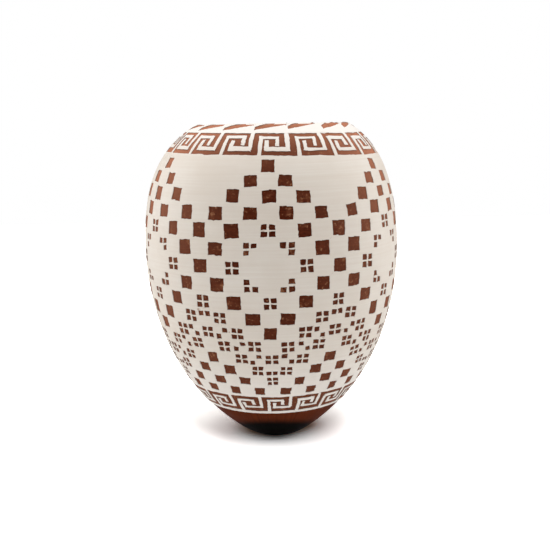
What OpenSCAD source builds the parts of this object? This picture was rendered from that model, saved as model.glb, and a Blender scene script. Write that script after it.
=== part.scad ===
// Coil-built seed jar with a wide mouth and no neck.
// A moulded base carries lapped clay courses. A pale slip coats the outside and is
// scraped away in squares, dots, frets and rim stripes, so that the clay shows through.

/* [Profile] */
// Radius of the flat that the jar stands on
foot_flat_r = 13; // [11:0.5:16]
// Slope of the wall where it leaves the flat, in degrees from level
foot_slope = 21.5; // [19:0.5:24]
// Radius of the curve just above the flat
foot_curve_r = 42.5; // [39:0.5:47]
// Turn of the curve just above the flat, in degrees
foot_curve_turn = 15; // [13:0.5:17]
// Radius of the curve of the lower wall
bowl_curve_r = 123; // [114:0.5:132]
// Turn of the curve of the lower wall, in degrees
bowl_curve_turn = 32.5; // [31:0.5:34]
// Radius of the curve of the belly
belly_curve_r = 156.5; // [145:0.5:168]
// Turn of the curve of the belly, in degrees
belly_curve_turn = 31; // [29:0.5:33]
// Radius of the curve of the shoulder
shoulder_curve_r = 75.5; // [66:0.5:85]
// Turn of the curve of the shoulder, in degrees
shoulder_curve_turn = 14; // [11:0.5:17]
// Radius of the curve that closes in to the lip
rim_curve_r = 55.5; // [51:0.5:60]
// Turn of the curve that closes in to the lip, in degrees
rim_curve_turn = 36; // [33:0.5:39]

/* [Clay] */
// Thickness of the wall
wall_thick = 5; // [4:0.25:6]
// Thickness of the floor inside the base
floor_thick = 5.5; // [4.5:0.25:7]
// Reach of the base up the outside, from the edge of the flat
base_reach = 39; // [36:0.5:44]
// Reach of the lip course down the outside, from the lip
lip_reach = 25; // [20:0.5:30]
// How far each course laps down inside the one below
lap = 5; // [3:0.5:7]

/* [Slip] */
// Thickness of the slip
slip_thick = 0.4; // [0.3:0.05:0.6]
// How far the slip runs over the round of the lip, in degrees
lip_wrap = 150; // [120:15:165]
// Slip between the lip and the upper fret
rim_band = 8.1; // [7.5:0.1:9]
// Slip between the upper fret and the first row of squares
field_margin = 2; // [1.2:0.1:3]
// Slip between the last row of squares and the lower fret
foot_margin = 1.3; // [0.8:0.1:2.2]
// Line of slip below the lower fret
foot_line = 2.2; // [1.6:0.1:3]

/* [Checker field] */
// Height of a row as a share of the width of a column at its middle
row_ratio = 0.965; // [0.94:0.005:0.985]
// Slip between neighbouring squares of a row
column_gap = 2; // [1.4:0.1:2.8]
// Slip between neighbouring rows
row_gap = 2.5; // [1.8:0.1:3]
// Slip between the dots of a quartered square
dot_gap = 1.8; // [1.2:0.1:2]

/* [Frets] */
// Height of the scraped ground of the upper fret
upper_fret_h = 15.8; // [14.5:0.1:17]
// Width of the slip line in the upper fret
upper_fret_line = 2.2; // [1.8:0.1:2.5]
// Height of the scraped ground of the lower fret
lower_fret_h = 13.4; // [12.5:0.1:14.5]
// Width of the slip line in the lower fret
lower_fret_line = 1.7; // [1.4:0.1:2]
// Scraped strip above the upper bar of a fret
fret_strip_high = 2.4; // [1.8:0.1:2.8]
// Scraped strip below the lower bar of a fret
fret_strip_low = 3; // [2.4:0.1:3.4]
// Scraped gap at the free end of each hook
fret_gap = 1.3; // [0.8:0.1:1.6]

/* [Rim stripes] */
// Width of a stripe, measured up the rim
stripe_w = 3.2; // [2.4:0.1:3.6]
// Length of a stripe round the rim
stripe_run = 19; // [14:0.5:22]
// Rise of a stripe along its length
stripe_rise = 4.6; // [4:0.1:5.2]
// Depth of the middle of a stripe's lower edge below the lip
stripe_depth = 1.6; // [1.2:0.1:2]

/* [Hidden] */
$fn = 192;
wall_courses = 8;

clay_colour = "#8a4b33";
slip_colour = "#ebe5da";

// The layout that a potter marks out round the jar, with turns in degrees from the front
front = -90;
diamonds = 6;
diamond_columns = 8;
field_rows = 16;
centre_row = 7;
paired_sum = 14;
fret_units = 18;
upper_fret_turn = -3.8;
lower_fret_turn = -2.4;
rim_stripes = 16;
rim_stripe_turn = 0.5;

// Places of the uprights of a fret unit, as shares of its width from the standing stem
hook_rise_at = 0.2;
hook_drop_at = 0.5;
hanging_stem_at = 0.735;

// Reach of a cutter past each face of the slip
cut_over = 1.5;
// Turn of one facet of the round of the lip
lip_step = 15;
// Places and points closer than this are the same
same_place = 0.01;

// The outline of the clay is a chain of tangent curves from the flat to the lip
curve_r = [foot_curve_r, bowl_curve_r, belly_curve_r, shoulder_curve_r, rim_curve_r];
curve_turn = [foot_curve_turn, bowl_curve_turn, belly_curve_turn, shoulder_curve_turn, rim_curve_turn];
curves = len(curve_r);

function outward(slope) = [sin(slope), -cos(slope)];
function first_slope(k) = k == 0 ? foot_slope : first_slope(k - 1) + curve_turn[k - 1];
function first_place(k) = k == 0 ? 0 : first_place(k - 1) + curve_r[k - 1] * curve_turn[k - 1] * PI / 180;
function curve_centre(k) =
    k == 0
        ? [foot_flat_r, 0] - curve_r[0] * outward(foot_slope)
        : curve_centre(k - 1) + (curve_r[k - 1] - curve_r[k]) * outward(first_slope(k));

slopes = [for (k = [0:curves]) first_slope(k)];
places = [for (k = [0:curves]) first_place(k)];
centres = [for (k = [0:curves - 1]) curve_centre(k)];
lip = places[curves];

// A place on the outline is its distance up the clay from the edge of the flat
function curve_at(place, k = 0) = k == curves - 1 || place < places[k + 1] ? k : curve_at(place, k + 1);
function slope_on(k, place) = slopes[k] + (place - places[k]) / curve_r[k] * 180 / PI;
function slope_at(place) = slope_on(curve_at(place), place);
function point(place, out = 0) =
    let (k = curve_at(place)) centres[k] + (curve_r[k] + out) * outward(slope_on(k, place));
function degrees(width, place) = width / point(place).x * 180 / PI;

// Edges of the bands, from the lip down
upper_fret_top = lip - rim_band;
upper_fret_foot = upper_fret_top - upper_fret_h;
column_turn = 360 / (diamonds * diamond_columns);
function column_w(place) = point(place).x * column_turn * PI / 180;
function row_h(edge) = row_ratio * column_w(edge - row_ratio * column_w(edge) / 2);
row_edges = [
    for (i = 0, edge = upper_fret_foot - field_margin; i <= field_rows; i = i + 1, edge = edge - row_h(edge))
        edge
];
lower_fret_top = row_edges[field_rows] - foot_margin;
lower_fret_foot = lower_fret_top - lower_fret_h;
slip_foot = lower_fret_foot - foot_line;

// Stations where the outline's facets meet, so that the clay and its slip share every facet
function steps(low, high, count) = [for (i = [1:count]) low + (high - low) * i / count];
stations = concat(
    [0],
    steps(0, slip_foot, 7),
    [lower_fret_foot],
    steps(lower_fret_foot, lower_fret_top, 3),
    [row_edges[field_rows]],
    [for (row = [field_rows:-1:1]) each steps(row_edges[row], row_edges[row - 1], 2)],
    steps(row_edges[0], upper_fret_top, 5),
    steps(upper_fret_top, lip, 2)
);
function facet_at(place, k = 0) =
    k == len(stations) - 2 || place < stations[k + 1] ? k : facet_at(place, k + 1);
function facet_point(place, out = 0) =
    let (
        k = facet_at(place),
        share = (place - stations[k]) / (stations[k + 1] - stations[k])
    )
    (1 - share) * point(stations[k], out) + share * point(stations[k + 1], out);
function outline(low, high, out) = [
    facet_point(low, out),
    for (s = stations) if (s > low + same_place && s < high - same_place) facet_point(s, out),
    facet_point(high, out)
];
function reversed(list) = [for (i = [len(list) - 1:-1:0]) list[i]];

// Round of the lip about the middle of the wall, from the outside face over the top
function lip_round(r, turn) = [
    for (a = [0:lip_step:turn]) point(lip, -wall_thick / 2) + r * outward(slope_at(lip) + a)
];

// Lapped joints: joint 0 is on the base, and the last one carries the lip course
course_h = (lip - lip_reach - base_reach) / wall_courses;
function joint(j) = base_reach + j * course_h;

// Base formed in a dish: the flat, the floor and the turned-up wall below the first joint
module base() {
    inner_r = foot_curve_r - wall_thick;
    floor_r = centres[0].x + sqrt(inner_r ^ 2 - (centres[0].y - floor_thick) ^ 2);
    inner_wall = [for (p = outline(0, joint(0) - lap, -wall_thick)) if (p.x > floor_r + same_place) p];
    color(clay_colour)
        rotate_extrude()
            polygon(concat(
                [[0, 0]],
                outline(0, joint(0), 0),
                reversed(inner_wall),
                [[floor_r, floor_thick], [0, floor_thick]]
            ));
}

// One coil, pressed on and scraped thin, lapped down inside the course below it
module wall_course(j) {
    color(clay_colour)
        rotate_extrude()
            polygon(concat(
                outline(joint(j - 1), joint(j), 0),
                reversed(outline(joint(j - 1) - lap, joint(j) - lap, -wall_thick))
            ));
}

// Last coil, rounded over to the lip
module lip_course() {
    color(clay_colour)
        rotate_extrude()
            polygon(concat(
                outline(joint(wall_courses), lip, 0),
                lip_round(wall_thick / 2, 180),
                reversed(outline(joint(wall_courses) - lap, lip, -wall_thick))
            ));
}

// Ring of slip between two places
module slip_band(low, high) {
    rotate_extrude()
        polygon(concat(outline(low, high, slip_thick), reversed(outline(low, high, 0))));
}

// Piece of slip between two places and two turns
module slip_patch(low, high, left, right) {
    rotate_extrude(angle = right - left, start = front + left)
        polygon(concat(outline(low, high, slip_thick), reversed(outline(low, high, 0))));
}

// Cutter that scrapes the slip away between two places and two turns
module scrape(low, high, left, right) {
    face = slip_thick + cut_over;
    rotate_extrude(angle = right - left, start = front + left)
        polygon([
            facet_point(low, -cut_over), facet_point(low, face),
            facet_point(high, face), facet_point(high, -cut_over)
        ]);
}

// Hooks of a fret, which interlock in its scraped ground: standing ones rise from the slip
// below and turn down at their end, hanging ones drop from the slip above and turn up
module fret_hooks(top, foot, line, first_turn, standing) {
    unit = 360 / fret_units;
    half = degrees(line, (top + foot) / 2) / 2;
    high_bar = [top - fret_strip_high - line, top - fret_strip_high];
    low_bar = [foot + fret_strip_low, foot + fret_strip_low + line];
    drop = hook_drop_at * unit;
    rise = hook_rise_at * unit;
    stem = hanging_stem_at * unit;
    for (i = [0:fret_units - 1]) {
        turn = first_turn + i * unit;
        if (standing) {
            slip_patch(foot, high_bar[0], turn - half, turn + half);
            slip_patch(high_bar[0], high_bar[1], turn - half, turn + drop + half);
            slip_patch(low_bar[1] + fret_gap, high_bar[0], turn + drop - half, turn + drop + half);
        } else {
            slip_patch(low_bar[1], top, turn + stem - half, turn + stem + half);
            slip_patch(low_bar[0], low_bar[1], turn + rise - half, turn + stem + half);
            slip_patch(low_bar[1], high_bar[0] - fret_gap, turn + rise - half, turn + rise + half);
        }
    }
}

// What is scraped in a square of the grid, by its row from the top and its column from the
// middle of the diamond: a ring of quartered squares round the bare middle, a dotted zigzag
// under the diamond, and solid squares elsewhere on every other square
function mark(row, column) =
    let (ring = abs(row - centre_row) + abs(column), sum = row + abs(column))
    sum == paired_sum ? "pair"
    : sum % 2 == 0 || ring == 0 ? "bare"
    : ring == 2 && column != 0 && row != centre_row ? "corner"
    : ring == 2 || abs(sum - paired_sum) == 1 ? "quarters"
    : row > abs(column) ? "solid"
    : "bare";

// Whether a dot of a quartered square is scraped: side is -1 left or 1 right, level is -1 low or 1 high
function has_dot(row, column, side, level) =
    let (kind = mark(row, column), inner = side == -sign(column))
    kind == "quarters"
    || (kind == "corner" && !(inner && level == sign(row - centre_row)))
    || (kind == "pair" && column == 0 && level == -1)
    || (kind == "pair" && abs(column) == diamond_columns / 2 && level == 1)
    || (kind == "pair" && column != 0 && abs(column) != diamond_columns / 2 && inner == (level == 1));

// Scraped marks of the checker field, row by row round the jar
module field_marks() {
    half_diamond = diamond_columns / 2;
    for (row = [1:field_rows], d = [0:diamonds - 1], column = [1 - half_diamond:half_diamond]) {
        low = row_edges[row] + row_gap / 2;
        high = row_edges[row - 1] - row_gap / 2;
        middle = (low + high) / 2;
        turn = (d * diamond_columns + column) * column_turn;
        half = (column_turn - degrees(column_gap, middle)) / 2;
        half_gap = degrees(dot_gap, middle) / 2;
        if (mark(row, column) == "solid")
            scrape(low, high, turn - half, turn + half);
        for (side = [-1, 1], level = [-1, 1])
            if (has_dot(row, column, side, level))
                scrape(
                    level < 0 ? low : middle + dot_gap / 2,
                    level < 0 ? middle - dot_gap / 2 : high,
                    turn + (side < 0 ? -half : half_gap),
                    turn + (side < 0 ? -half_gap : half)
                );
    }
}

// Slanted stripe scraped in the rim, cut square to the surface and on over the lip
module rim_stripe() {
    place = lip - stripe_depth;
    foot = point(place);
    left = -stripe_run / 2;
    low = -stripe_rise / 2;
    translate([foot.x, 0, foot.y])
        rotate([0, 180 - slope_at(place), 0])
            rotate(90)
                linear_extrude(height = 2 * (wall_thick / 2 + cut_over), center = true)
                    polygon([[left, low], [-left, -low], [-left, stripe_w - low], [left, low + stripe_w]]);
}

// Thin line of slip round the foot with the standing hooks of the lower fret
module foot_slip() {
    color(slip_colour)
        union() {
            slip_band(slip_foot, lower_fret_foot);
            fret_hooks(lower_fret_top, lower_fret_foot, lower_fret_line, lower_fret_turn, true);
        }
}

// Slip of the body between the frets, scraped in the checker field, with the hooks at both edges
module field_slip() {
    color(slip_colour)
        difference() {
            union() {
                slip_band(lower_fret_top, upper_fret_foot);
                fret_hooks(upper_fret_top, upper_fret_foot, upper_fret_line, upper_fret_turn, true);
                fret_hooks(lower_fret_top, lower_fret_foot, lower_fret_line, lower_fret_turn, false);
            }
            field_marks();
        }
}

// Slip of the rim, carried over the lip, with the hanging hooks of the upper fret
module rim_slip() {
    color(slip_colour)
        difference() {
            union() {
                rotate_extrude()
                    polygon(concat(
                        outline(upper_fret_top, lip, slip_thick),
                        lip_round(wall_thick / 2 + slip_thick, lip_wrap),
                        reversed(lip_round(wall_thick / 2, lip_wrap)),
                        reversed(outline(upper_fret_top, lip, 0))
                    ));
                fret_hooks(upper_fret_top, upper_fret_foot, upper_fret_line, upper_fret_turn, false);
            }
            for (i = [0:rim_stripes - 1])
                rotate(front + rim_stripe_turn + i * 360 / rim_stripes) rim_stripe();
        }
}

base();
for (j = [1:wall_courses])
    wall_course(j);
lip_course();
foot_slip();
field_slip();
rim_slip();
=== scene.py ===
"""Looks of the coil-built jar with scraped slip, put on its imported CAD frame."""

import math
import random

import bpy
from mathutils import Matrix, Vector


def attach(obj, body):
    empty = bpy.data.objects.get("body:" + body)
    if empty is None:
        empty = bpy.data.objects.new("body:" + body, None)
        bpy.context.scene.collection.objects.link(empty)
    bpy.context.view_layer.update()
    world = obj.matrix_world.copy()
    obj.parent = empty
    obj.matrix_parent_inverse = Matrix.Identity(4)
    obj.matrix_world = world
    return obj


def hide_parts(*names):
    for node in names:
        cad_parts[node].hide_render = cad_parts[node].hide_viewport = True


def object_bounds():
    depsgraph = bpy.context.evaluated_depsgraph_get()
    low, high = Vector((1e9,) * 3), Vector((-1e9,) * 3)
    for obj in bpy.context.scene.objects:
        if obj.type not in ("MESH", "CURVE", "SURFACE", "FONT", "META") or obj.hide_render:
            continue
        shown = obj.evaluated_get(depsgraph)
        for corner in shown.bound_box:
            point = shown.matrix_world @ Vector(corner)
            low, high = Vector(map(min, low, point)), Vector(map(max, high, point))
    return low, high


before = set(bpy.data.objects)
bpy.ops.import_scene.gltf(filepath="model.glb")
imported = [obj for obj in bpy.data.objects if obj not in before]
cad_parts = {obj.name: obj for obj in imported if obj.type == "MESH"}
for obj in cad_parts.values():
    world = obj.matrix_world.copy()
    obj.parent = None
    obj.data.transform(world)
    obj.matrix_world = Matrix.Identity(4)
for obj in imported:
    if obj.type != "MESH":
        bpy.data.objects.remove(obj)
cad_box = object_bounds()

# Base. The moulded bottom of the jar, red-brown clay pressed out over a dish, with the small flat that
# it stands on. Its outside is left bare of slip and burnished, and painted shade blackens it underneath,
# reaching highest at the front.
MM = 0.001
FOOT_FLAT_R = 13 * MM
FOOT_SLOPE = math.radians(21.5)
CURVES = [(42.5 * MM, 15), (123 * MM, 32.5), (156.5 * MM, 31), (75.5 * MM, 14), (55.5 * MM, 36)]
WALL = 5 * MM
FLOOR = 5.5 * MM
FLOOR_ROUND = 1 * MM
LAP = 5 * MM
BASE_REACH = 39 * MM
SPIN_STEPS = 192
OUTLINE_STEP = 2 * MM
MERGE = 0.01 * MM
SMOOTH_BELOW = math.radians(40)
COIL_OVAL, OVAL_PITCH, OVAL_START = 0.16 * MM, 60 * MM, 0.7
COIL_LOBES, LOBES_PITCH, LOBES_START = 0.12 * MM, 45 * MM, 2.1
TRUE_FOOT = 20 * MM
RIM_LEAN = 1.8 * MM
RIM_SWELL = 1.0 * MM
RIM_FROM = 150 * MM
RIM_CURVE = 1.5
FOOT_ASIDE = 0.9 * MM
FOOT_ASIDE_TO = 130 * MM
TOP = cad_box[1].z
DARK_CLAY = (0.048, 0.0064, 0.0016, 1)
RUBBED_CLAY = (0.18, 0.038, 0.0115, 1)
WIPED_CLAY = (0.25, 0.10, 0.056, 1)
DAMP_CLAY = (0.15, 0.05, 0.026, 1)
# Painted shade: the base's clay is mixed to this near black towards the floor, reaching higher at the front.
PAINTED_SHADE_CLAY = (0.0025, 0.0015, 0.001, 1)
PAINTED_SHADE_CLEAR = 5.5 * MM
PAINTED_SHADE_BLACK = 1.5 * MM
PAINTED_SHADE_FRONT = 0.36
PAINTED_SHADE_DRIFT = 2 * MM


def outward(slope):
    """Direction out of the jar's face where its section has that slope."""
    return Vector((math.sin(slope), 0, -math.cos(slope)))


def outline(place, out=0.0):
    """Point of the jar's section. place is the way up the clay from the edge of the flat and over the lip."""
    foot, slope = Vector((FOOT_FLAT_R, 0, 0)), FOOT_SLOPE
    for radius, turn in CURVES:
        bend = min(place / radius, math.radians(turn))
        centre = foot - radius * outward(slope)
        slope += bend
        place -= radius * bend
        foot = centre + radius * outward(slope)
        if place <= 0:
            return foot + out * outward(slope)
    centre = foot - WALL / 2 * outward(slope)
    return centre + (WALL / 2 + out) * outward(slope + place / (WALL / 2))


def run(low, high, out=0.0):
    """Points of the section from one place to another."""
    steps = max(1, round(abs(high - low) / OUTLINE_STEP))
    return [outline(low + (high - low) * k / steps, out) for k in range(steps + 1)]


def set_by_hand(piece):
    """Gives a true ring the slight unevenness of a coiled wall, and leans the rim as it was pinched."""
    for vertex in piece.data.vertices:
        x, y, z = vertex.co
        turn = math.atan2(y, x)
        swell = COIL_OVAL * math.sin(2 * turn + OVAL_START + z / OVAL_PITCH)
        swell += COIL_LOBES * math.sin(3 * turn + LOBES_START - z / LOBES_PITCH)
        swell *= max(0, min(1, z / TRUE_FOOT))
        rim = max(0, (z - RIM_FROM) / (TOP - RIM_FROM)) ** RIM_CURVE
        swell += rim * RIM_SWELL
        lean = rim * RIM_LEAN + max(0, 1 - z / FOOT_ASIDE_TO) ** 2 * FOOT_ASIDE
        vertex.co = (x + swell * math.cos(turn) + lean, y + swell * math.sin(turn), z)


def spun(name, section):
    """A ring of clay turned from the points of its section."""
    bpy.ops.object.select_all(action="DESELECT")
    bpy.ops.mesh.primitive_circle_add(vertices=len(section), radius=FOOT_FLAT_R)
    piece = bpy.context.object
    piece.name = name
    bpy.ops.object.mode_set(mode="EDIT")
    bpy.ops.mesh.select_mode(type="VERT")
    bpy.ops.mesh.select_all(action="DESELECT")
    bpy.ops.object.mode_set(mode="OBJECT")
    for vertex, point in zip(piece.data.vertices, section):
        vertex.co = point
        vertex.select = point.x < MERGE
    bpy.ops.object.mode_set(mode="EDIT")
    bpy.ops.mesh.delete(type="EDGE")
    bpy.ops.mesh.select_all(action="SELECT")
    bpy.ops.mesh.spin(steps=SPIN_STEPS, angle=2 * math.pi, center=(0, 0, 0), axis=(0, 0, 1))
    bpy.ops.mesh.select_all(action="SELECT")
    bpy.ops.mesh.remove_doubles(threshold=MERGE)
    bpy.ops.mesh.normals_make_consistent(inside=False)
    bpy.ops.object.mode_set(mode="OBJECT")
    set_by_hand(piece)
    bpy.ops.object.shade_smooth_by_angle(angle=SMOOTH_BELOW)
    return piece


def faces_inside(piece, inside_slot, head):
    """Gives the faces that look into the jar, up to a height, the material in that slot."""
    for face in piece.data.polygons:
        towards_axis = face.normal.x * face.center.x + face.normal.y * face.center.y < 0
        floor = face.normal.z > 0.5 and face.center.z < 2 * FLOOR
        if floor or (towards_axis and face.center.z < head):
            face.material_index = inside_slot


def new_material(name):
    """A material with its node tree, Principled shader and output."""
    material = bpy.data.materials.new(name)
    material.use_nodes = True
    return material, material.node_tree.nodes, material.node_tree.links


def strokes_group():
    """Bands left by a tool drawn round the jar: thin in height and long round the wall."""
    group = bpy.data.node_groups.new("tool_strokes", "ShaderNodeTree")
    group.interface.new_socket("Around", in_out="INPUT", socket_type="NodeSocketFloat")
    group.interface.new_socket("Up", in_out="INPUT", socket_type="NodeSocketFloat")
    group.interface.new_socket("Strokes", in_out="OUTPUT", socket_type="NodeSocketFloat")
    nodes, links = group.nodes, group.links
    given = nodes.new("NodeGroupInput")
    place = nodes.new("ShaderNodeTexCoord")
    stretch = nodes.new("ShaderNodeCombineXYZ")
    links.new(given.outputs["Around"], stretch.inputs["X"])
    links.new(given.outputs["Around"], stretch.inputs["Y"])
    links.new(given.outputs["Up"], stretch.inputs["Z"])
    scaled = nodes.new("ShaderNodeVectorMath")
    scaled.operation = "MULTIPLY"
    links.new(place.outputs["Object"], scaled.inputs[0])
    links.new(stretch.outputs["Vector"], scaled.inputs[1])
    noise = nodes.new("ShaderNodeTexNoise")
    noise.inputs["Scale"].default_value = 1
    noise.inputs["Detail"].default_value = 3
    noise.inputs["Roughness"].default_value = 0.6
    links.new(scaled.outputs["Vector"], noise.inputs["Vector"])
    made = nodes.new("NodeGroupOutput")
    links.new(noise.outputs["Fac"], made.inputs["Strokes"])
    return group


tool_strokes = strokes_group()


def burnished_clay_material():
    """Clay rubbed with a stone to a low shine, with painted shade that blackens it towards the foot and the
    front.
    """
    material, nodes, links = new_material("burnished_clay")
    shader = nodes["Principled BSDF"]
    shader.inputs["Specular IOR Level"].default_value = 0.012
    place = nodes.new("ShaderNodeTexCoord")
    flat = nodes.new("ShaderNodeVectorMath")
    flat.operation = "MULTIPLY"
    flat.inputs[1].default_value = (1, 1, 0)
    links.new(place.outputs["Object"], flat.inputs[0])
    facing = nodes.new("ShaderNodeVectorMath")
    facing.operation = "NORMALIZE"
    links.new(flat.outputs["Vector"], facing.inputs[0])
    strokes = nodes.new("ShaderNodeTexNoise")
    strokes.inputs["Scale"].default_value = 42
    strokes.inputs["Detail"].default_value = 3
    links.new(facing.outputs["Vector"], strokes.inputs["Vector"])
    cloud = nodes.new("ShaderNodeTexNoise")
    cloud.inputs["Scale"].default_value = 45
    cloud.inputs["Detail"].default_value = 4
    links.new(place.outputs["Object"], cloud.inputs["Vector"])
    clay = nodes.new("ShaderNodeMix")
    clay.data_type = "RGBA"
    clay.inputs[6].default_value = DARK_CLAY
    clay.inputs[7].default_value = RUBBED_CLAY
    links.new(strokes.outputs["Fac"], clay.inputs[0])
    parts = nodes.new("ShaderNodeSeparateXYZ")
    links.new(place.outputs["Object"], parts.inputs["Vector"])
    tipped = nodes.new("ShaderNodeMath")
    tipped.operation = "MULTIPLY_ADD"
    tipped.inputs[1].default_value = PAINTED_SHADE_FRONT
    links.new(parts.outputs["Y"], tipped.inputs[0])
    links.new(parts.outputs["Z"], tipped.inputs[2])
    drift = nodes.new("ShaderNodeMath")
    drift.operation = "MULTIPLY_ADD"
    drift.inputs[1].default_value = PAINTED_SHADE_DRIFT
    links.new(cloud.outputs["Fac"], drift.inputs[0])
    links.new(tipped.outputs["Value"], drift.inputs[2])
    painted_shade = nodes.new("ShaderNodeMapRange")
    painted_shade.interpolation_type = "SMOOTHSTEP"
    painted_shade.inputs["From Min"].default_value = PAINTED_SHADE_BLACK + PAINTED_SHADE_DRIFT / 2
    painted_shade.inputs["From Max"].default_value = PAINTED_SHADE_CLEAR + PAINTED_SHADE_DRIFT / 2
    links.new(drift.outputs["Value"], painted_shade.inputs["Value"])
    colour = nodes.new("ShaderNodeMix")
    colour.data_type = "RGBA"
    colour.inputs[6].default_value = PAINTED_SHADE_CLAY
    links.new(painted_shade.outputs["Result"], colour.inputs[0])
    links.new(clay.outputs[2], colour.inputs[7])
    links.new(colour.outputs[2], shader.inputs["Base Color"])
    shine = nodes.new("ShaderNodeMapRange")
    shine.inputs["To Min"].default_value = 0.34
    shine.inputs["To Max"].default_value = 0.5
    links.new(strokes.outputs["Fac"], shine.inputs["Value"])
    links.new(shine.outputs["Result"], shader.inputs["Roughness"])
    bump = nodes.new("ShaderNodeBump")
    bump.inputs["Strength"].default_value = 0.12
    bump.inputs["Distance"].default_value = 0.2 * MM
    links.new(strokes.outputs["Fac"], bump.inputs["Height"])
    links.new(bump.outputs["Normal"], shader.inputs["Normal"])
    return material


def wiped_clay_material():
    """Clay of the inside, wiped round with a wet hand and left matt."""
    material, nodes, links = new_material("wiped_clay")
    shader = nodes["Principled BSDF"]
    shader.inputs["Roughness"].default_value = 0.85
    strokes = nodes.new("ShaderNodeGroup")
    strokes.node_tree = tool_strokes
    strokes.inputs["Around"].default_value = 9
    strokes.inputs["Up"].default_value = 260
    colour = nodes.new("ShaderNodeMix")
    colour.data_type = "RGBA"
    colour.inputs[6].default_value = DAMP_CLAY
    colour.inputs[7].default_value = WIPED_CLAY
    links.new(strokes.outputs["Strokes"], colour.inputs[0])
    links.new(colour.outputs[2], shader.inputs["Base Color"])
    bump = nodes.new("ShaderNodeBump")
    bump.inputs["Strength"].default_value = 0.5
    bump.inputs["Distance"].default_value = 0.5 * MM
    links.new(strokes.outputs["Strokes"], bump.inputs["Height"])
    links.new(bump.outputs["Normal"], shader.inputs["Normal"])
    return material


burnished_clay = burnished_clay_material()
wiped_clay = wiped_clay_material()

inner_wall = [point for point in run(0, BASE_REACH - LAP, -WALL) if point.z > FLOOR]
floor_edge = Vector((inner_wall[0].x - FLOOR_ROUND, 0, FLOOR))
outside = [Vector((0, 0, 0)), *run(0, BASE_REACH)]
inside = [*reversed(inner_wall), floor_edge, Vector((0, 0, FLOOR))]
base = spun("base_clay", [*outside, *inside])
base.data.materials.append(burnished_clay)
base.data.materials.append(wiped_clay)
faces_inside(base, 1, TOP)
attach(base, "root")
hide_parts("base")

# Wall courses. Coils of the same clay, each pressed on and scraped thin with a gourd rib, lapped down
# inside the course below. The slip covers them outside, and they show where it is scraped away.
WALL_COURSES = 8
LIP = sum(radius * math.radians(turn) for radius, turn in CURVES)
LIP_REACH = 25 * MM
COURSE_H = (LIP - LIP_REACH - BASE_REACH) / WALL_COURSES
FIRED_CLAY = (0.107, 0.0196, 0.0062, 1)
SLIP_FLECK = (0.30, 0.13, 0.065, 1)
ORANGE_CLAY = (0.195, 0.062, 0.028, 1)
# Painted sheen: scraped clay is lightened towards this colour where it is seen at a glance, more so near the
# top where the overhead light falls.
PAINTED_SHEEN_CLAY = (0.475, 0.187, 0.108, 1)
PAINTED_SHEEN_LOW, PAINTED_SHEEN_HIGH = 0.5, 1.8
PAINTED_SHEEN_STEEPNESS = 4


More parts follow.
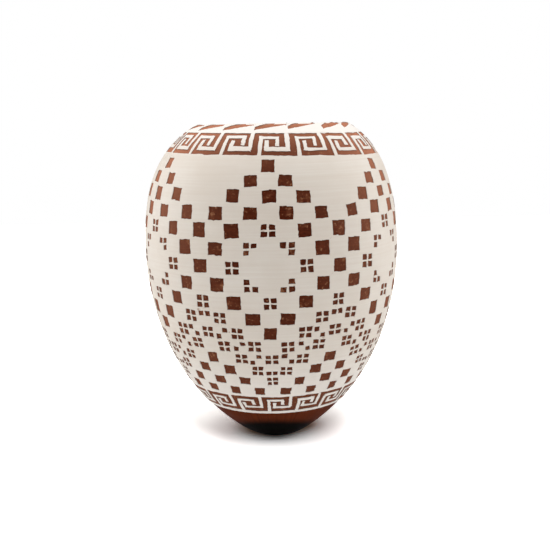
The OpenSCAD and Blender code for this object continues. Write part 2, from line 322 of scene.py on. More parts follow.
def scraped_clay_material():
    """Clay laid bare by scraping: fine scratches, a few flecks of slip, and a painted sheen at a glance,
    stronger near the top.
    """
    material, nodes, links = new_material("scraped_clay")
    shader = nodes["Principled BSDF"]
    shader.inputs["Roughness"].default_value = 0.75
    shader.inputs["Specular IOR Level"].default_value = 0.04
    strokes = nodes.new("ShaderNodeGroup")
    strokes.node_tree = tool_strokes
    strokes.inputs["Around"].default_value = 120
    strokes.inputs["Up"].default_value = 1700
    place = nodes.new("ShaderNodeTexCoord")
    clay = nodes.new("ShaderNodeMix")
    clay.data_type = "RGBA"
    clay.inputs[6].default_value = DARK_CLAY
    clay.inputs[7].default_value = FIRED_CLAY
    depth = nodes.new("ShaderNodeMapRange")
    depth.inputs["From Min"].default_value = 0.36
    depth.inputs["From Max"].default_value = 0.64
    grain = nodes.new("ShaderNodeTexNoise")
    grain.inputs["Scale"].default_value = 900
    grain.inputs["Detail"].default_value = 2
    links.new(place.outputs["Object"], grain.inputs["Vector"])
    marks = nodes.new("ShaderNodeMix")
    marks.inputs[0].default_value = 0.5
    links.new(strokes.outputs["Strokes"], marks.inputs[2])
    links.new(grain.outputs["Fac"], marks.inputs[3])
    links.new(marks.outputs[0], depth.inputs["Value"])
    links.new(depth.outputs["Result"], clay.inputs[0])
    patches = nodes.new("ShaderNodeTexNoise")
    patches.inputs["Scale"].default_value = 170
    patches.inputs["Detail"].default_value = 3
    links.new(place.outputs["Object"], patches.inputs["Vector"])
    warmth = nodes.new("ShaderNodeMapRange")
    warmth.inputs["From Min"].default_value = 0.56
    warmth.inputs["From Max"].default_value = 0.84
    links.new(patches.outputs["Fac"], warmth.inputs["Value"])
    warm = nodes.new("ShaderNodeMix")
    warm.data_type = "RGBA"
    warm.inputs[7].default_value = ORANGE_CLAY
    links.new(warmth.outputs["Result"], warm.inputs[0])
    links.new(clay.outputs[2], warm.inputs[6])
    # Painted sheen: the clay is lightened at glancing views, more towards the top.
    glance = nodes.new("ShaderNodeLayerWeight")
    glance.inputs["Blend"].default_value = 0.5
    painted_sheen = nodes.new("ShaderNodeMix")
    painted_sheen.data_type = "RGBA"
    painted_sheen.inputs[7].default_value = PAINTED_SHEEN_CLAY
    parts = nodes.new("ShaderNodeSeparateXYZ")
    links.new(place.outputs["Object"], parts.inputs["Vector"])
    height = nodes.new("ShaderNodeMapRange")
    height.inputs["From Max"].default_value = TOP
    links.new(parts.outputs["Z"], height.inputs["Value"])
    steep = nodes.new("ShaderNodeMath")
    steep.operation = "POWER"
    steep.inputs[1].default_value = PAINTED_SHEEN_STEEPNESS
    links.new(height.outputs["Result"], steep.inputs[0])
    higher = nodes.new("ShaderNodeMapRange")
    higher.inputs["To Min"].default_value = PAINTED_SHEEN_LOW
    higher.inputs["To Max"].default_value = PAINTED_SHEEN_HIGH
    links.new(steep.outputs["Value"], higher.inputs["Value"])
    dust_and_sheen = nodes.new("ShaderNodeMath")
    dust_and_sheen.operation = "MULTIPLY"
    dust_and_sheen.use_clamp = True
    links.new(glance.outputs["Facing"], dust_and_sheen.inputs[0])
    links.new(higher.outputs["Result"], dust_and_sheen.inputs[1])
    links.new(dust_and_sheen.outputs["Value"], painted_sheen.inputs[0])
    links.new(warm.outputs[2], painted_sheen.inputs[6])
    flecks = nodes.new("ShaderNodeTexNoise")
    flecks.inputs["Scale"].default_value = 700
    flecks.inputs["Detail"].default_value = 2
    links.new(place.outputs["Object"], flecks.inputs["Vector"])
    gathered = nodes.new("ShaderNodeMath")
    gathered.operation = "MULTIPLY_ADD"
    gathered.inputs[1].default_value = 0.4
    links.new(patches.outputs["Fac"], gathered.inputs[0])
    links.new(flecks.outputs["Fac"], gathered.inputs[2])
    left = nodes.new("ShaderNodeMapRange")
    left.inputs["From Min"].default_value = 0.8
    left.inputs["From Max"].default_value = 0.96
    links.new(gathered.outputs["Value"], left.inputs["Value"])
    colour = nodes.new("ShaderNodeMix")
    colour.data_type = "RGBA"
    colour.inputs[7].default_value = SLIP_FLECK
    links.new(left.outputs["Result"], colour.inputs[0])
    links.new(painted_sheen.outputs[2], colour.inputs[6])
    links.new(colour.outputs[2], shader.inputs["Base Color"])
    bump = nodes.new("ShaderNodeBump")
    bump.inputs["Strength"].default_value = 0.5
    bump.inputs["Distance"].default_value = 0.2 * MM
    links.new(strokes.outputs["Strokes"], bump.inputs["Height"])
    links.new(bump.outputs["Normal"], shader.inputs["Normal"])
    return material


scraped_clay = scraped_clay_material()

for j in range(1, WALL_COURSES + 1):
    foot = BASE_REACH + (j - 1) * COURSE_H
    head = foot + COURSE_H
    course = spun(f"wall_coil_{j}", [*run(foot, head), *run(head - LAP, foot - LAP, -WALL)])
    course.data.materials.append(scraped_clay)
    course.data.materials.append(wiped_clay)
    faces_inside(course, 1, TOP)
    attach(course, "root")
    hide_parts(f"wall_course_{j}")

# Lip course. The last coil of the same clay, drawn in over the mouth, lapped down inside the course below
# and rounded over with a wet strip of hide. The slip runs over it, and the rim stripes lay it bare.
LIP_ROUND_STEPS = 14
LIP_WRAP = math.radians(150)
rim_head = LIP + LIP_WRAP * WALL / 2
lip_foot = LIP - LIP_REACH
lip_round = [outline(LIP + math.pi * WALL / 2 * k / LIP_ROUND_STEPS) for k in range(1, LIP_ROUND_STEPS)]
lip_section = [*run(lip_foot, LIP), *lip_round, *run(LIP, lip_foot - LAP, -WALL)]
lip_course = spun("lip_coil", lip_section)
lip_course.data.materials.append(scraped_clay)
lip_course.data.materials.append(wiped_clay)
faces_inside(lip_course, 1, outline(rim_head).z)
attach(lip_course, "root")
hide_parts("lip_course")

# Foot slip. A thin line of cream slip round the foot, brushed on over the clay and burnished, with the
# standing hooks of the lower fret left on it where the ground between them was scraped away.
SLIP = 0.4 * MM
COLUMNS = 48
ROWS = 16
COLUMN_TURN = 360 / COLUMNS
ROW_RATIO = 0.965
RIM_BAND = 8.1 * MM
UPPER_FRET_H = 15.8 * MM
FIELD_MARGIN = 2.0 * MM
FOOT_MARGIN = 1.3 * MM
LOWER_FRET_H = 13.4 * MM
FOOT_LINE = 2.3 * MM
FRET_UNITS = 18
UNIT_TURN = 360 / FRET_UNITS
LOWER_FRET_TURN = -3.6
LOWER_FRET_LINE = 1.72 * MM
FRET_STRIP_HIGH = 2.4 * MM
FRET_STRIP_LOW = 3.0 * MM
FRET_GAP = 1.3 * MM
HOOK_DROP_AT = 0.5
HOOK_WIDTH_SLIP = 0.10
HOOK_SHIFT = 0.35 * MM
HOOK_BEND = 0.16 * MM
HOOK_CORNER_SLIP = 0.13 * MM
HOOK_BAR_SLIP = 0.22 * MM
CORNER_HOLD = 1
EDGE_SCRAPE = 0.1 * MM
SEAM_TURN = 180
SLANT = 1.8 * MM
SLANT_FROM, SLANT_RISE, SLANT_FULL, SLANT_FADE = 5 * MM, 4 * MM, 22 * MM, 40 * MM
CREAM_SLIP = (0.80, 0.735, 0.655, 1)
WARM_SLIP = (0.74, 0.655, 0.565, 1)
STAINED_SLIP = (0.36, 0.19, 0.115, 1)
# Painted light: the cream is whitened towards this colour near the foot and near the rim, where more light
# falls.
PAINTED_LIGHT_SLIP = (0.93, 0.88, 0.82, 1)
PAINTED_LIGHT_FOOT = (62 * MM, 25 * MM)
PAINTED_LIGHT_RIM = (170 * MM, 183 * MM)

upper_fret_top = LIP - RIM_BAND
upper_fret_foot = upper_fret_top - UPPER_FRET_H
row_edges = [upper_fret_foot - FIELD_MARGIN]
for _ in range(ROWS):
    column_w = outline(row_edges[-1]).x * math.radians(COLUMN_TURN)
    middle_w = outline(row_edges[-1] - ROW_RATIO * column_w / 2).x * math.radians(COLUMN_TURN)
    row_edges.append(row_edges[-1] - ROW_RATIO * middle_w)
lower_fret_top = row_edges[ROWS] - FOOT_MARGIN
lower_fret_foot = lower_fret_top - LOWER_FRET_H
slip_foot = lower_fret_foot - FOOT_LINE


def by_hand(spread, *key):
    """A small slip of the hand, the same each time for the same mark."""
    seed = 0
    for number in key:
        seed = seed * 1009 + number + 7
    return max(-2, min(2, random.Random(seed).gauss(0, 1))) * spread


def on_jar(turn, place):
    """Point on the clay's face at a turn in degrees from the front and a place up the outline."""
    point, angle = outline(place), math.radians(turn)
    return Vector((point.x * math.sin(angle), -point.x * math.cos(angle), point.z))


def slanted(turn, place):
    """Place of a mark once the bands near the rim run down to the right, as they were drawn by eye."""
    below = LIP - place
    share = min((below - SLANT_FROM) / SLANT_RISE, 1 - (below - SLANT_FULL) / SLANT_FADE)
    return place - SLANT * math.sin(turn) * max(0, min(1, share))


def slip_sheet(name, across, up, kept, laid):
    """A closed ring of slip: a grid of cells, those not kept scraped away, laid round the jar."""
    bpy.ops.object.select_all(action="DESELECT")
    bpy.ops.mesh.primitive_grid_add(x_subdivisions=across, y_subdivisions=up, size=1)
    sheet = bpy.context.object
    sheet.name = name
    bpy.ops.object.mode_set(mode="EDIT")
    bpy.ops.mesh.select_mode(type="FACE")
    bpy.ops.mesh.select_all(action="DESELECT")
    bpy.ops.object.mode_set(mode="OBJECT")
    for face in sheet.data.polygons:
        face.select = not kept(int((face.center.x + 0.5) * across), int((face.center.y + 0.5) * up))
    bpy.ops.object.mode_set(mode="EDIT")
    bpy.ops.mesh.delete(type="FACE")
    bpy.ops.object.mode_set(mode="OBJECT")
    places = sheet.data.attributes.new("place", "FLOAT", "POINT")
    for vertex, mark in zip(sheet.data.vertices, places.data):
        turn, mark.value = laid(round((vertex.co.x + 0.5) * across), round((vertex.co.y + 0.5) * up))
        vertex.co = on_jar(turn, mark.value)
    bpy.ops.object.mode_set(mode="EDIT")
    bpy.ops.mesh.select_all(action="SELECT")
    bpy.ops.mesh.remove_doubles(threshold=MERGE)
    bpy.ops.mesh.normals_make_consistent(inside=False)
    bpy.ops.object.mode_set(mode="OBJECT")
    return sheet


def edges_picked(sheet, pick):
    """Opens a sheet for editing with its scraped edges picked, as points or as lines."""
    bpy.ops.object.select_all(action="DESELECT")
    sheet.select_set(True)
    bpy.context.view_layer.objects.active = sheet
    bpy.ops.object.mode_set(mode="EDIT")
    bpy.ops.mesh.select_mode(type=pick)
    bpy.ops.mesh.select_all(action="DESELECT")
    bpy.ops.mesh.select_non_manifold(
        use_wire=False, use_multi_face=False, use_non_contiguous=False, use_verts=False
    )


def halved(sheet):
    """Halves the cells of a sheet, with the corners of its scraped edges held."""
    edges_picked(sheet, "VERT")
    bpy.ops.transform.vert_crease(value=CORNER_HOLD)
    bpy.ops.object.mode_set(mode="OBJECT")
    bpy.ops.object.modifier_add(type="SUBSURF")
    softened = sheet.modifiers[-1]
    softened.levels = softened.render_levels = 1
    bpy.ops.object.modifier_apply(modifier=softened.name)
    sheet.data.attributes.remove(sheet.data.attributes["crease_vert"])


def edges_halved(sheet):
    """Halves only the scraped edges of a sheet, so that they can waver."""
    edges_picked(sheet, "EDGE")
    bpy.ops.mesh.subdivide(number_cuts=1)
    bpy.ops.object.mode_set(mode="OBJECT")


def hook_ring(name, lines, stem_at, back_at, line, first_turn, seed):
    """Hooks of one fret on a plain strip. lines are the places of the strip's far edge, the edge that the
    hooks grow from, the end of each hook, and the near and far edges of its bar."""

    def kept(i, j):
        stroke = i % 4
        stem = 0 if stem_at < back_at else 2
        strokes_left = [(0, 1, 2, 3), (stem,), (0, 2), (0, 1, 2)]
        return stroke in strokes_left[j]

    def laid(i, j):
        unit, stroke = divmod(i, 4)
        around = unit % FRET_UNITS
        middle = (min(stem_at, back_at) if stroke < 2 else max(stem_at, back_at)) * UNIT_TURN
        place = lines[j]
        side = -1 if stroke % 2 == 0 else 1
        width = line * (1 + by_hand(HOOK_WIDTH_SLIP, seed, around, stroke // 2, j))
        drift = by_hand(HOOK_SHIFT, seed, around, stroke // 2, 40) if j else 0
        drift += by_hand(HOOK_BEND, seed, around, stroke // 2, j, 60) if j > 1 else 0
        if j > 0:
            place += by_hand(HOOK_CORNER_SLIP, seed, around, stroke, j, 80)
        if j > 1:
            place += by_hand(HOOK_BAR_SLIP, seed, around, j, 90)
        offset = math.degrees((side * width / 2 + drift) / outline(place).x)
        return first_turn + unit * UNIT_TURN + middle + offset - SEAM_TURN, place

    ring = slip_sheet(name, 4 * FRET_UNITS, len(lines) - 1, kept, laid)
    halved(ring)
    return ring


def slip_coat(sheet):
    """Gives a sheet of slip its thickness, its stained edges and its materials."""
    edges_picked(sheet, "VERT")
    bpy.ops.object.mode_set(mode="OBJECT")
    edge = sheet.data.attributes.new("scraped_edge", "FLOAT", "POINT")
    for vertex, mark in zip(sheet.data.vertices, edge.data):
        mark.value = 1.0 if vertex.select else 0.0
    for vertex, mark in zip(sheet.data.vertices, sheet.data.attributes["place"].data):
        turn, place = math.atan2(vertex.co.x, -vertex.co.y), mark.value
        if vertex.select:
            turn += by_hand(EDGE_SCRAPE, vertex.index, 1) / outline(place).x
            place += by_hand(EDGE_SCRAPE, vertex.index, 2)
        vertex.co = on_jar(math.degrees(turn), slanted(turn, place))
    set_by_hand(sheet)
    sheet.data.materials.append(burnished_slip)
    sheet.data.materials.append(slip_edge)
    bpy.ops.object.modifier_add(type="SOLIDIFY")
    coat = sheet.modifiers[-1]
    coat.thickness = SLIP
    coat.offset = 1
    coat.material_offset_rim = 1
    bpy.ops.object.modifier_apply(modifier=coat.name)
    bpy.ops.object.shade_smooth_by_angle(angle=SMOOTH_BELOW)
    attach(sheet, "root")


def burnished_slip_material():
    """Cream slip rubbed with a stone: soft strokes round the jar, painted light that whitens it near the foot
    and the rim, and a few stains by the scraped edges."""
    material, nodes, links = new_material("burnished_slip")
    shader = nodes["Principled BSDF"]
    strokes = nodes.new("ShaderNodeGroup")
    strokes.node_tree = tool_strokes
    strokes.inputs["Around"].default_value = 16
    strokes.inputs["Up"].default_value = 800
    place = nodes.new("ShaderNodeTexCoord")
    wash = nodes.new("ShaderNodeTexNoise")
    wash.inputs["Scale"].default_value = 38
    wash.inputs["Detail"].default_value = 5
    links.new(place.outputs["Object"], wash.inputs["Vector"])
    uneven = nodes.new("ShaderNodeMath")
    uneven.operation = "MULTIPLY"
    links.new(strokes.outputs["Strokes"], uneven.inputs[0])
    links.new(wash.outputs["Fac"], uneven.inputs[1])
    tone = nodes.new("ShaderNodeMapRange")
    tone.inputs["From Min"].default_value = 0.12
    tone.inputs["From Max"].default_value = 0.42
    links.new(uneven.outputs["Value"], tone.inputs["Value"])
    cream = nodes.new("ShaderNodeMix")
    cream.data_type = "RGBA"
    cream.inputs[6].default_value = WARM_SLIP
    cream.inputs[7].default_value = CREAM_SLIP
    links.new(tone.outputs["Result"], cream.inputs[0])
    # Painted light: the cream is whitened by height near the foot and the rim.
    parts = nodes.new("ShaderNodeSeparateXYZ")
    links.new(place.outputs["Object"], parts.inputs["Vector"])
    painted_light = nodes.new("ShaderNodeMath")
    painted_light.operation = "MAXIMUM"
    for socket, (unlit_at, lit_at) in zip(painted_light.inputs, (PAINTED_LIGHT_FOOT, PAINTED_LIGHT_RIM)):
        lighten = nodes.new("ShaderNodeMapRange")
        lighten.inputs["From Min"].default_value = unlit_at
        lighten.inputs["From Max"].default_value = lit_at
        links.new(parts.outputs["Z"], lighten.inputs["Value"])
        links.new(lighten.outputs["Result"], socket)
    lit_cream = nodes.new("ShaderNodeMix")
    lit_cream.data_type = "RGBA"
    lit_cream.inputs[7].default_value = PAINTED_LIGHT_SLIP
    links.new(painted_light.outputs["Value"], lit_cream.inputs[0])
    links.new(cream.outputs[2], lit_cream.inputs[6])
    edge = nodes.new("ShaderNodeAttribute")
    edge.attribute_name = "scraped_edge"
    chips = nodes.new("ShaderNodeTexNoise")
    chips.inputs["Scale"].default_value = 420
    chips.inputs["Detail"].default_value = 3
    links.new(place.outputs["Object"], chips.inputs["Vector"])
    near = nodes.new("ShaderNodeMath")
    near.operation = "MULTIPLY"
    links.new(edge.outputs["Fac"], near.inputs[0])
    links.new(chips.outputs["Fac"], near.inputs[1])
    stain = nodes.new("ShaderNodeMapRange")
    stain.inputs["From Min"].default_value = 0.58
    stain.inputs["From Max"].default_value = 0.75
    stain.inputs["To Max"].default_value = 0.7
    links.new(near.outputs["Value"], stain.inputs["Value"])
    colour = nodes.new("ShaderNodeMix")
    colour.data_type = "RGBA"
    colour.inputs[7].default_value = STAINED_SLIP
    links.new(stain.outputs["Result"], colour.inputs[0])
    links.new(lit_cream.outputs[2], colour.inputs[6])
    links.new(colour.outputs[2], shader.inputs["Base Color"])
    shine = nodes.new("ShaderNodeMapRange")
    shine.inputs["To Min"].default_value = 0.48
    shine.inputs["To Max"].default_value = 0.66
    links.new(strokes.outputs["Strokes"], shine.inputs["Value"])
    links.new(shine.outputs["Result"], shader.inputs["Roughness"])
    bump = nodes.new("ShaderNodeBump")
    bump.inputs["Strength"].default_value = 0.15
    bump.inputs["Distance"].default_value = 0.15 * MM
    links.new(strokes.outputs["Strokes"], bump.inputs["Height"])
    links.new(bump.outputs["Normal"], shader.inputs["Normal"])
    return material


def slip_edge_material():
    """The cut edge of the slip, where clay dust has stained it."""
    material, nodes, links = new_material("slip_edge")
    shader = nodes["Principled BSDF"]
    shader.inputs["Roughness"].default_value = 0.8
    place = nodes.new("ShaderNodeTexCoord")
    dust_and_sheen = nodes.new("ShaderNodeTexNoise")
    dust_and_sheen.inputs["Scale"].default_value = 500
    dust_and_sheen.inputs["Detail"].default_value = 2
    links.new(place.outputs["Object"], dust_and_sheen.inputs["Vector"])
    colour = nodes.new("ShaderNodeMix")
    colour.data_type = "RGBA"
    colour.inputs[6].default_value = ORANGE_CLAY
    colour.inputs[7].default_value = WARM_SLIP
    links.new(dust_and_sheen.outputs["Fac"], colour.inputs[0])
    links.new(colour.outputs[2], shader.inputs["Base Color"])
    return material


burnished_slip = burnished_slip_material()
slip_edge = slip_edge_material()

lower_high_bar = [lower_fret_top - FRET_STRIP_HIGH - LOWER_FRET_LINE, lower_fret_top - FRET_STRIP_HIGH]
lower_low_bar = [lower_fret_foot + FRET_STRIP_LOW, lower_fret_foot + FRET_STRIP_LOW + LOWER_FRET_LINE]
foot_lines = [slip_foot, lower_fret_foot, lower_low_bar[1] + FRET_GAP, *lower_high_bar]
foot_slip = hook_ring("foot_slip_coat", foot_lines, 0, HOOK_DROP_AT, LOWER_FRET_LINE, LOWER_FRET_TURN, 1)
edges_halved(foot_slip)
slip_coat(foot_slip)
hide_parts("foot_slip")

# Field slip. The cream slip of the body. The potter marked out a grid round the jar, and scraped away
# solid and quartered squares in diamonds; the hooks at both edges are left between the scraped grounds.
HOOK_RISE_AT, HANGING_STEM_AT = 0.2, 0.735
ROOT = 0.9 * MM
DIAMOND_COLUMNS = 8
CENTRE_ROW = 7
PAIRED_SUM = 14
UPPER_FRET_TURN = -5.0
UPPER_FRET_LINE = 2.12 * MM
SOLID_SHARE = (0.80, 0.77)
QUARTERED_SHARE = (0.765, 0.73)
CROSS_SHARE = 0.107
ROW_LIFT = 0.35 * MM
ROW_WANDER = 0.5 * MM
WANDER_ROWS = 9
LOWEST_WANDER = 9.5
APEX_STRETCH = 1.25
SQUARE_TILT = math.radians(1.8)
SQUARE_GROWTH = 0.05
SQUARE_SHIFT = 0.24 * MM
CORNER_SHIFT = 0.14 * MM


def mark_of(row, column):
    """What is scraped in a square, by its row from the top and its column from a diamond's middle."""
    ring = abs(row - CENTRE_ROW) + abs(column)
    total = row + abs(column)
    if total == PAIRED_SUM:
        return "pair"
    if total % 2 == 0 or ring == 0:
        return "bare"
    if ring == 2 and column != 0 and row != CENTRE_ROW:
        return "corner"
    if ring == 2 or abs(total - PAIRED_SUM) == 1:
        return "quarters"
    return "solid" if row > abs(column) else "bare"


def has_dot(row, column, side, level):
    """Whether a dot of a quartered square is scraped: side -1 is left, level -1 is low."""
    kind = mark_of(row, column)
    inner = (column > 0) - (column < 0) == -side
    half = DIAMOND_COLUMNS // 2
    if kind == "corner":
        return not (inner and level == (1 if row > CENTRE_ROW else -1))
    if kind == "pair" and column == 0:
        return level == -1
    if kind == "pair" and abs(column) == half:
        return level == 1
    if kind == "pair":
        return inner == (level == 1)
    return kind == "quarters"


def diamond_column(column):
    """Column counted from the middle of its diamond."""
    half = DIAMOND_COLUMNS // 2
    return (column + half - 1) % DIAMOND_COLUMNS - half + 1


def field_cell(i, j):
    """Row, column, and steps across and up in its square, of a line of the grid."""
    column, across = divmod(i, 4)
    row, up = divmod(j - 1, 4)
    return ROWS - row, column - COLUMNS // 2, across, up


def field_kept(i, j):
    """Whether a cell of the field is left as slip."""
    row, column, across, up = field_cell(i, j)
    if j == 0 or across == 3 or up == 3:
        return True
    if mark_of(row, diamond_column(column)) == "solid":
        return False
    if across == 1 or up == 1:
        return True
    return not has_dot(row, diamond_column(column), across - 1, up - 1)


def field_laid(i, j):
    """Turn and place of a crossing of the field's lines, as the hand set it."""
    row, column, across, up = field_cell(i, j)
    turn = column * COLUMN_TURN
    around = column % COLUMNS
    edge = j == 0 or row == 0
    row = max(1, min(ROWS, row))
    wander = 2 * math.pi * (row - LOWEST_WANDER) / WANDER_ROWS
    middle = (row_edges[row] + row_edges[row - 1]) / 2 + ROW_LIFT - ROW_WANDER * math.cos(wander)
    radius = outline(middle).x
    kind = mark_of(row, diamond_column(column))
    share_w, share_h = SOLID_SHARE if kind in ("solid", "bare") else QUARTERED_SHARE
    wide, tall = radius * math.radians(COLUMN_TURN) / 2, (row_edges[row - 1] - row_edges[row]) / 2
    x = [-share_w * wide, -CROSS_SHARE * wide, CROSS_SHARE * wide, share_w * wide][across]
    if edge:
        return turn + math.degrees(x / radius), row_edges[ROWS] if j == 0 else row_edges[0]
    y = [-share_h * tall, -CROSS_SHARE * tall, CROSS_SHARE * tall, share_h * tall][up]
    y *= APEX_STRETCH if row == 1 and column == 0 else 1
    if kind == "bare":
        return turn + math.degrees(x / radius), middle + y
    tilt = by_hand(SQUARE_TILT, row, around, 1)
    grow_x = 1 + by_hand(SQUARE_GROWTH, row, around, 2)
    grow_y = 1 + by_hand(SQUARE_GROWTH, row, around, 3)
    x, y = grow_x * x - tilt * y, grow_y * y + tilt * x
    x += by_hand(SQUARE_SHIFT, row, around, 4) + by_hand(CORNER_SHIFT, row, around, across, up, 5)
    y += by_hand(SQUARE_SHIFT, row, around, 6) + by_hand(CORNER_SHIFT, row, around, across, up, 7)
    return turn + math.degrees(x / radius), middle + y


def bridged(sheet, ring, sheet_edge, ring_edge):
    """Joins a ring of hooks to a sheet across the plain slip between their edges."""
    bpy.ops.object.select_all(action="DESELECT")
    ring.select_set(True)
    sheet.select_set(True)
    bpy.context.view_layer.objects.active = sheet
    bpy.ops.object.join()
    heights = [outline(sheet_edge).z, outline(ring_edge).z]
    bpy.ops.object.mode_set(mode="EDIT")
    bpy.ops.mesh.select_mode(type="VERT")
    bpy.ops.mesh.select_all(action="DESELECT")
    bpy.ops.object.mode_set(mode="OBJECT")
    for vertex in sheet.data.vertices:
        vertex.select = min(abs(vertex.co.z - height) for height in heights) < MERGE
    bpy.ops.object.mode_set(mode="EDIT")
    bpy.ops.mesh.bridge_edge_loops()
    bpy.ops.mesh.select_all(action="SELECT")
    bpy.ops.mesh.normals_make_consistent(inside=False)
    bpy.ops.object.mode_set(mode="OBJECT")


upper_high_bar = [upper_fret_top - FRET_STRIP_HIGH - UPPER_FRET_LINE, upper_fret_top - FRET_STRIP_HIGH]
upper_low_bar = [upper_fret_foot + FRET_STRIP_LOW, upper_fret_foot + FRET_STRIP_LOW + UPPER_FRET_LINE]
field_slip = slip_sheet("field_slip_coat", 4 * COLUMNS, 4 * ROWS + 1, field_kept, field_laid)
standing_lines = [upper_fret_foot - ROOT, upper_fret_foot, upper_low_bar[1] + FRET_GAP, *upper_high_bar]
standing = hook_ring("standing_hooks", standing_lines, 0, HOOK_DROP_AT, UPPER_FRET_LINE, UPPER_FRET_TURN, 2)
bridged(field_slip, standing, row_edges[0], standing_lines[0])
hanging_end = lower_high_bar[0] - FRET_GAP
hanging_lines = [lower_fret_top + ROOT / 2, lower_fret_top, hanging_end, *reversed(lower_low_bar)]
hanging = hook_ring(
    "hanging_hooks", hanging_lines, HANGING_STEM_AT, HOOK_RISE_AT, LOWER_FRET_LINE, LOWER_FRET_TURN, 3
)
bridged(field_slip, hanging, row_edges[ROWS], hanging_lines[0])
edges_halved(field_slip)
slip_coat(field_slip)
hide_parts("field_slip")

# Rim slip. The cream slip of the rim, carried over the lip and a little way inside, scraped in slanted
# stripes that run on over the lip, with the hanging hooks of the upper fret along its lower edge.
RIM_STRIPES = 16
STRIPE_TURN = 360 / RIM_STRIPES
STRIPE_LEFT = -10.6
STRIPE_SPAN = 20.8
STRIPE_LINES = 14
STRIPE_END = 11
STRIPE_W = 2.9 * MM
STRIPE_LOW = 5.0 * MM
STRIPE_SPREAD = 5 * MM
STRIPE_HIGH = 0.39 * MM
RIM_LINES = 15
STRIPE_FOOT_LINE, STRIPE_HEAD_LINE = 4, 8
STRIPE_TURN_SLIP = 0.5
STRIPE_SHIFT = 0.25 * MM
STRIPE_EDGE_SLIP = 0.08 * MM
STRIPE_WIDTH_SLIP = 0.06
HEAD_CLEAR = 1 * MM


def rim_kept(i, j):
    """Whether a cell of the rim is left as slip."""
    in_stripe = STRIPE_FOOT_LINE <= j < STRIPE_HEAD_LINE
    return not in_stripe or i % STRIPE_LINES >= STRIPE_END


def stripe_edges(stripe, step):
    """Turn, and places of the lower and upper edge, of one step along a stripe."""
    around = stripe % RIM_STRIPES
    share = step / STRIPE_END
    turn = STRIPE_LEFT + stripe * STRIPE_TURN + share * STRIPE_SPAN - SEAM_TURN
    turn += by_hand(STRIPE_TURN_SLIP, around, 5)
    lower = LIP - STRIPE_LOW + share * (STRIPE_LOW - STRIPE_HIGH)
    lower += by_hand(STRIPE_SHIFT, around, 1) + by_hand(STRIPE_EDGE_SLIP, around, step, 2)
    upper = lower + STRIPE_W * (1 + by_hand(STRIPE_WIDTH_SLIP, around, 3))
    upper += by_hand(STRIPE_EDGE_SLIP, around, step, 4) + share * STRIPE_SPREAD
    return Vector((turn, lower, min(upper, rim_head - HEAD_CLEAR)))


def rim_laid(i, j):
    """Turn and place of a crossing of the rim's lines, as the hand set it."""
    stripe, step = divmod(i, STRIPE_LINES)
    if step <= STRIPE_END:
        turn, lower, upper = stripe_edges(stripe, step)
    else:
        over = (step - STRIPE_END) / (STRIPE_LINES - STRIPE_END)
        turn, lower, upper = stripe_edges(stripe, STRIPE_END).lerp(stripe_edges(stripe + 1, 0), over)
    foot = upper_fret_top + ROOT
    if j <= STRIPE_FOOT_LINE:
        return turn, foot + (lower - foot) * j / STRIPE_FOOT_LINE
    if j <= STRIPE_HEAD_LINE:
        return turn, lower + (upper - lower) * (j - STRIPE_FOOT_LINE) / (STRIPE_HEAD_LINE - STRIPE_FOOT_LINE)
    return turn, upper + (rim_head - upper) * (j - STRIPE_HEAD_LINE) / (RIM_LINES - STRIPE_HEAD_LINE)


rim_slip = slip_sheet("rim_slip_coat", STRIPE_LINES * RIM_STRIPES, RIM_LINES, rim_kept, rim_laid)
rim_hook_end = upper_high_bar[0] - FRET_GAP
rim_hook_lines = [upper_fret_top + ROOT / 2, upper_fret_top, rim_hook_end, *reversed(upper_low_bar)]
rim_hooks = hook_ring(
    "rim_hooks", rim_hook_lines, HANGING_STEM_AT, HOOK_RISE_AT, UPPER_FRET_LINE, UPPER_FRET_TURN, 4
)
bridged(rim_slip, rim_hooks, upper_fret_top + ROOT, rim_hook_lines[0])
halved(rim_slip)
slip_coat(rim_slip)
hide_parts("rim_slip")

# Floor. A pale sheet of card that the jar stands on, carried far back so that it has no edge in view.
# The camera sees a painted shadow in its colour, warm and dark close to the foot and paler under the belly;
# all else meets plain pale card.
FLOOR_SIZE = 2.4
FLOOR_PALE = (0.97, 0.97, 0.97, 1)
# Painted shadow on the floor, seen by the camera only: darkest and warm at the foot, paler under the belly.
FOOT_SHADE = (0.36, 0.20, 0.12, 1)
BELLY_SHADE = (1.62, 1.62, 1.60, 1)
FLOOR_SEEN = (2.42, 2.42, 2.42, 1)
FLOOR_FAR = (5, 5, 5, 1)
FOOT_SHADE_AT, FOOT_SHADE_R = (2 * MM, 5 * MM, 0), (17 * MM, 32 * MM)
BELLY_SHADE_AT, BELLY_SHADE_R = (-9 * MM, 40 * MM, 0), (46 * MM, 70 * MM)
FAR_AT, FAR_R = (0, 10 * MM, 0), (120 * MM, 900 * MM)
bpy.ops.object.select_all(action="DESELECT")
bpy.ops.mesh.primitive_plane_add(size=FLOOR_SIZE)
ground = bpy.context.object
ground.name = "floor_sheet"
pale, nodes, links = new_material("pale_floor")
nodes.remove(nodes["Principled BSDF"])
matt = nodes.new("ShaderNodeBsdfDiffuse")
place = nodes.new("ShaderNodeTexCoord")
shade = None
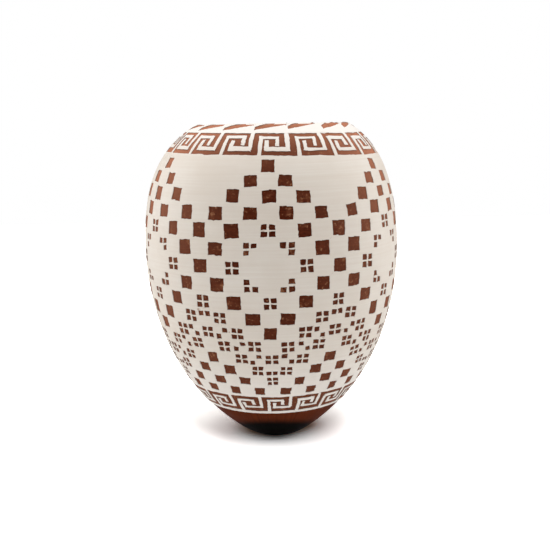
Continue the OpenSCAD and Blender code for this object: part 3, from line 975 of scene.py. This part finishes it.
for outer_shade, centre, (inner_r, outer_r), fade in (
    (BELLY_SHADE, FOOT_SHADE_AT, FOOT_SHADE_R, "SMOOTHSTEP"),
    (FLOOR_SEEN, BELLY_SHADE_AT, BELLY_SHADE_R, "SMOOTHSTEP"),
    (FLOOR_FAR, FAR_AT, FAR_R, "LINEAR"),
):
    reach = nodes.new("ShaderNodeVectorMath")
    reach.operation = "DISTANCE"
    reach.inputs[1].default_value = centre
    links.new(place.outputs["Object"], reach.inputs[0])
    share = nodes.new("ShaderNodeMapRange")
    share.interpolation_type = fade
    share.inputs["From Min"].default_value = inner_r
    share.inputs["From Max"].default_value = outer_r
    links.new(reach.outputs["Value"], share.inputs["Value"])
    ring = nodes.new("ShaderNodeMix")
    ring.data_type = "RGBA"
    ring.inputs[6].default_value = FOOT_SHADE
    ring.inputs[7].default_value = outer_shade
    links.new(share.outputs["Result"], ring.inputs[0])
    if shade:
        links.new(shade, ring.inputs[6])
    shade = ring.outputs[2]
seen = nodes.new("ShaderNodeLightPath")
tint = nodes.new("ShaderNodeMix")
tint.data_type = "RGBA"
tint.inputs[6].default_value = FLOOR_PALE
links.new(seen.outputs["Is Camera Ray"], tint.inputs[0])
links.new(shade, tint.inputs[7])
links.new(tint.outputs[2], matt.inputs["Color"])
links.new(matt.outputs["BSDF"], nodes["Material Output"].inputs["Surface"])
ground.data.materials.append(pale)

# Light. A white room with a broad soft light overhead and one on each side, a little behind the jar, as in
# a light tent that is open to the front. The room is seen white, and lights the jar only weakly.
WORLD_STRENGTH = 0.15
SIDE_POWER = 4.6
SIDE_SIZE = 0.8
TOP_SIZE = 1.4
TOP_POWER = 11.7
LIGHT_REACH = 0.8
LIGHT_BACK = 0.2
LEFT_SHARE = 0.96
RIGHT_SHARE = 0.88
SIDE_HEIGHT = 0.27
TOP_HEIGHT = 1.0
TOP_FRONT = 0.2
world = bpy.data.worlds.new("white_room")
bpy.context.scene.world = world
world.use_nodes = True
nodes, links = world.node_tree.nodes, world.node_tree.links
background = nodes["Background"]
seen = nodes.new("ShaderNodeLightPath")
clear = nodes.new("ShaderNodeMath")
clear.operation = "MAXIMUM"
links.new(seen.outputs["Is Camera Ray"], clear.inputs[0])
links.new(seen.outputs["Is Transmission Ray"], clear.inputs[1])
strength = nodes.new("ShaderNodeMapRange")
strength.inputs["To Min"].default_value = WORLD_STRENGTH
strength.inputs["To Max"].default_value = 1
links.new(clear.outputs["Value"], strength.inputs["Value"])
links.new(strength.outputs["Result"], background.inputs["Strength"])
background.inputs["Color"].default_value = (1, 1, 1, 1)
for name, spot, power, size in (
    ("left_light", (-LIGHT_REACH, LIGHT_BACK, SIDE_HEIGHT), LEFT_SHARE * SIDE_POWER, SIDE_SIZE),
    ("right_light", (LIGHT_REACH, LIGHT_BACK, SIDE_HEIGHT), RIGHT_SHARE * SIDE_POWER, SIDE_SIZE),
    ("top_light", (0, -TOP_FRONT, TOP_HEIGHT), TOP_POWER, TOP_SIZE),
):
    aim = Vector((0, 0, TOP / 2)) - Vector(spot)
    bpy.ops.object.light_add(type="AREA", location=spot, rotation=aim.to_track_quat("-Z", "Y").to_euler())
    lamp = bpy.context.object
    lamp.name = name
    lamp.data.size = size
    lamp.data.energy = power

# Camera. Level with the lip, about half a metre off and tipped down to the middle of the jar. It leans
# slightly to one side, as it was held.
CAMERA_AWAY = 560.3 * MM
CAMERA_HEIGHT = 189.9 * MM
CAMERA_ASIDE = 1.85 * MM
CAMERA_TURN = math.radians(0.87)
CAMERA_PITCH = math.radians(9.46)
CAMERA_ROLL = 0.0193
CAMERA_LENS = 61.44
CAMERA_NEAREST = 10 * MM
away = Vector((math.sin(CAMERA_TURN), -math.cos(CAMERA_TURN), 0))
aside = Vector((math.cos(CAMERA_TURN), math.sin(CAMERA_TURN), 0))
stand = CAMERA_AWAY * away + CAMERA_ASIDE * aside + Vector((0, 0, CAMERA_HEIGHT))
bpy.ops.object.camera_add(location=stand, rotation=(math.pi / 2 - CAMERA_PITCH, 0, CAMERA_TURN))
camera = bpy.context.object
camera.rotation_euler.rotate_axis("Z", -CAMERA_ROLL)
camera.data.lens = CAMERA_LENS
camera.data.clip_start = CAMERA_NEAREST
bpy.context.scene.camera = camera
bpy.context.scene.view_settings.view_transform = "Standard"
